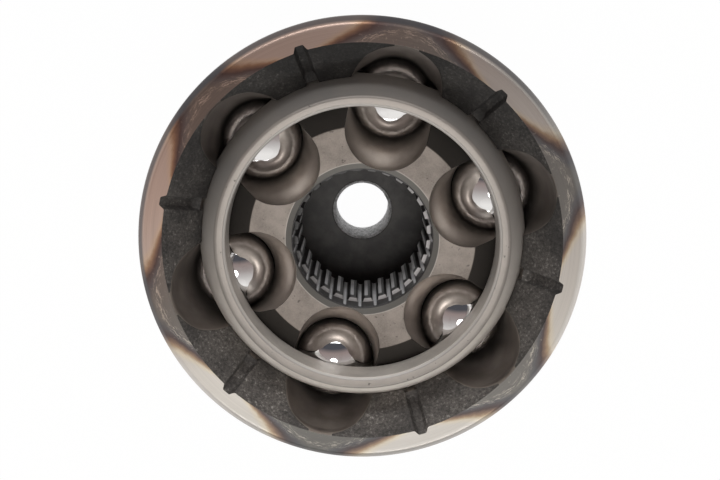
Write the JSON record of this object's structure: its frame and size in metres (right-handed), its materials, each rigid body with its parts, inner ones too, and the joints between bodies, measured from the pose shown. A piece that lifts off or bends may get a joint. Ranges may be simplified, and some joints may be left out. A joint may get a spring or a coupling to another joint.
{
  "type": "constant velocity joint",
  "caption": "Fixed ball-type constant velocity joint: grooved bell with a face-toothed, tapped hub end, slotted cage, chromed balls and splined inner race.",
  "frame": {"origin": "joint centre, where the wheel-side and shaft-side axes cross", "axes": "+Z along the joint axis, out of the open mouth towards the shaft; +X is the bend axis and lies midway between two ball tracks"},
  "size_m": [0.0944, 0.0944, 0.0664],
  "materials": {
    "outer_steel": "forged oxide mouth, machined and heat-tinted rim",
    "cage_steel": "hardened and ground satin",
    "race_steel": "blasted faces, ground tracks",
    "ball_steel": "mirror"
  },
  "bodies": {
    "outer_race": {"outer_race": "outer_steel"},
    "cage": {"cage": "cage_steel"},
    "inner_race": {"inner_race": "race_steel"},
    "ball_1": {"ball_1": "ball_steel"},
    "ball_2": {"ball_2": "ball_steel"},
    "ball_3": {"ball_3": "ball_steel"},
    "ball_4": {"ball_4": "ball_steel"},
    "ball_5": {"ball_5": "ball_steel"},
    "ball_6": {"ball_6": "ball_steel"}
  },
  "joints": [
    {"name": "bend", "type": "hinge", "parent": "outer_race", "child": "inner_race", "pos_m": [0, 0, 0], "axis": [1, 0, 0], "range_deg": [-47, 47]},
    {"name": "cage_bend", "type": "hinge", "parent": "outer_race", "child": "cage", "pos_m": [0, 0, 0], "axis": [1, 0, 0], "range_deg": [-23.6, 23.6]},
    {"name": "ball_1_track", "type": "hinge", "parent": "outer_race", "child": "ball_1", "pos_m": [0, 0, 0.005], "axis": [0.5, -0.866, 0], "range_deg": [-12.16, 12.16]},
    {"name": "ball_2_track", "type": "hinge", "parent": "outer_race", "child": "ball_2", "pos_m": [0, 0, 0.005], "axis": [1, 0, 0], "range_deg": [-23.6, 23.6]},
    {"name": "ball_3_track", "type": "hinge", "parent": "outer_race", "child": "ball_3", "pos_m": [0, 0, 0.005], "axis": [0.5, 0.866, 0], "range_deg": [-12.16, 12.16]},
    {"name": "ball_4_track", "type": "hinge", "parent": "outer_race", "child": "ball_4", "pos_m": [0, 0, 0.005], "axis": [-0.5, 0.866, 0], "range_deg": [-12.16, 12.16]},
    {"name": "ball_5_track", "type": "hinge", "parent": "outer_race", "child": "ball_5", "pos_m": [0, 0, 0.005], "axis": [-1, 0, 0], "range_deg": [-23.6, 23.6]},
    {"name": "ball_6_track", "type": "hinge", "parent": "outer_race", "child": "ball_6", "pos_m": [0, 0, 0.005], "axis": [-0.5, -0.866, 0], "range_deg": [-12.16, 12.16]}
  ],
  "couplings": [
    {"joint": "cage_bend", "follows": "bend", "ratio": 0.5},
    {"joint": "ball_1_track", "follows": "bend", "ratio": 0.2566},
    {"joint": "ball_2_track", "follows": "bend", "ratio": 0.5},
    {"joint": "ball_3_track", "follows": "bend", "ratio": 0.2566},
    {"joint": "ball_4_track", "follows": "bend", "ratio": -0.2566},
    {"joint": "ball_5_track", "follows": "bend", "ratio": -0.5},
    {"joint": "ball_6_track", "follows": "bend", "ratio": -0.2566}
  ]
}
